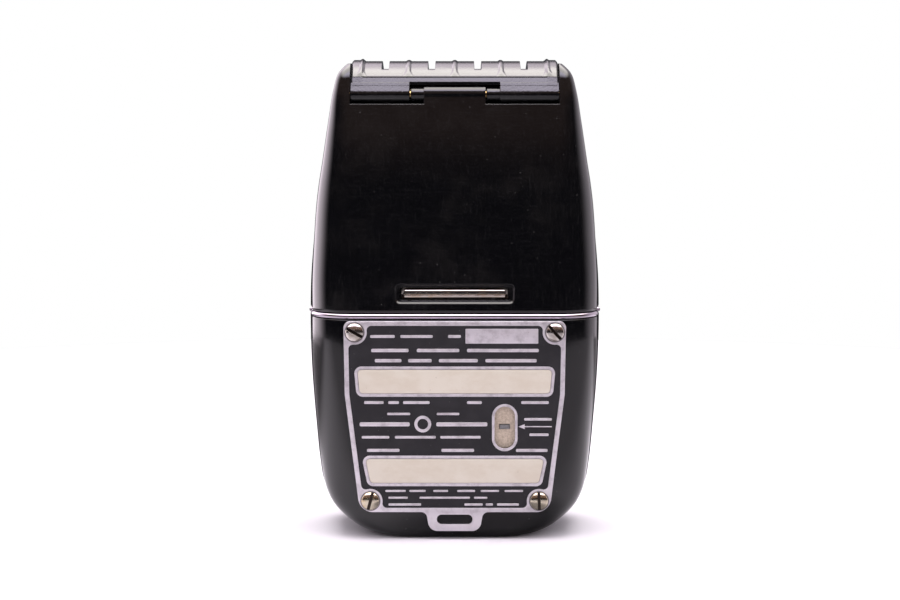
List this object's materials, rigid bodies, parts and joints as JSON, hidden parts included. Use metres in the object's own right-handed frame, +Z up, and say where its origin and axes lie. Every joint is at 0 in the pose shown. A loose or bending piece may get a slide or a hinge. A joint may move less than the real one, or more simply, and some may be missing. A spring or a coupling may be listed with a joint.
{
  "type": "selenium light meter",
  "caption": "Hand-held selenium light meter: black moulded case with a needle dial and calculator, rear nameplate, and a lift-off light hood with a hinged, slotted lid.",
  "frame": {"origin": "middle of the flat base that the meter stands on", "axes": "+Z up along the meter's height, the nameplate faces -Y, the calculator dial faces +Y, +X is to the right when the nameplate is seen"},
  "size_m": [0.0584, 0.0342, 0.094],
  "materials": {
    "moulding": "polished black phenolic moulding",
    "chrome_trim": "bright chromium plate",
    "nickel": "nickel plate, worn to brass on the edges",
    "plate": "etched aluminium with a black enamelled field",
    "note_panel": "aged ivory writing surface",
    "fibre": "brown vulcanised fibre sheet",
    "glass": "clear flat glass",
    "brass": "plain brass",
    "steel": "plain steel",
    "magnet": "cast magnet alloy",
    "copper": "enamelled copper wire",
    "selenium": "grey selenium film on an iron plate",
    "white_paint": "white painted scale",
    "black_paint": "black paint",
    "red_insulation": "varnished cotton sleeve",
    "dark_insulation": "varnished cotton sleeve",
    "aluminium": "bare aluminium"
  },
  "bodies": {
    "case": {"bridge_screw_1": "steel", "bridge_screw_2": "steel", "bridge_screw_3": "steel", "bridge_screw_4": "steel", "cell_contact_ring": "brass", "cell_glass": "glass", "cell_holder": "moulding", "cell_rear_contact": "brass", "cell_retainer": "steel", "core_bracket": "brass", "frame_screw_1": "steel", "frame_screw_2": "steel", "front_bridge": "brass", "front_case": "moulding", "front_hairspring": "brass", "front_jewel_screw": "brass", "glass_retainer": "steel", "hub_rivet": "nickel", "iron_core": "steel", "lower_note_panel": "note_panel", "magnet": "magnet", "movement_frame": "brass", "nameplate": "plate", "negative_lead": "dark_insulation", "plate_screw_1": "nickel", "plate_screw_2": "nickel", "plate_screw_3": "nickel", "plate_screw_4": "nickel", "pole_piece_left": "steel", "pole_piece_right": "steel", "positive_lead": "red_insulation", "range_resistor": "copper", "rear_bridge": "brass", "rear_case": "moulding", "rear_hairspring": "brass", "rear_jewel_screw": "brass", "scale_plate": "white_paint", "scale_post_1": "brass", "scale_post_2": "brass", "selenium_cell": "selenium", "trim_band": "chrome_trim", "upper_note_panel": "note_panel", "window_bezel": "chrome_trim", "window_glass": "glass"},
    "hood": {"hood": "moulding", "hinge_pin": "brass"},
    "lid": {"lid": "moulding"},
    "catch": {"rear_catch": "chrome_trim", "catch_spring": "steel"},
    "moving_coil": {"coil_former": "aluminium", "coil_winding": "copper", "front_staff": "steel", "rear_staff": "steel", "needle": "black_paint"},
    "zero_adjuster": {"zero_lever": "nickel", "dust_shield": "fibre"},
    "time_ring": {"time_ring": "black_paint"},
    "speed_disc": {"speed_disc": "aluminium"}
  },
  "joints": [
    {"name": "hood_lift", "type": "slide", "parent": "case", "child": "hood", "axis": [0, 0, 1], "range_m": [0, 0.012], "deforming": ["rear_catch"]},
    {"name": "lid_hinge", "type": "hinge", "parent": "hood", "child": "lid", "pos_m": [0, -0.011, 0.08715], "axis": [1, 0, 0], "range_deg": [0, 100]},
    {"name": "catch_press", "type": "slide", "parent": "case", "child": "catch", "axis": [0, 1, 0], "range_m": [0, 0.002], "stiffness_N_per_m": 600, "springref_m": -0.0008},
    {"name": "needle_swing", "type": "hinge", "parent": "case", "child": "moving_coil", "pos_m": [0, 0, 0.0222], "axis": [0, -1, 0], "range_deg": [0, 80], "stiffness_Nm_per_rad": 0.00005, "springref_deg": -2.86},
    {"name": "zero_adjust", "type": "hinge", "parent": "case", "child": "zero_adjuster", "pos_m": [0, -0.009, 0.0222], "axis": [0, 1, 0], "range_deg": [-12, 12]},
    {"name": "time_ring_turn", "type": "hinge", "parent": "case", "child": "time_ring", "pos_m": [0, 0.0159, 0.0222], "axis": [0, 1, 0], "continuous": true},
    {"name": "speed_disc_turn", "type": "hinge", "parent": "case", "child": "speed_disc", "pos_m": [0, 0.0159, 0.0222], "axis": [0, 1, 0], "continuous": true}
  ]
}
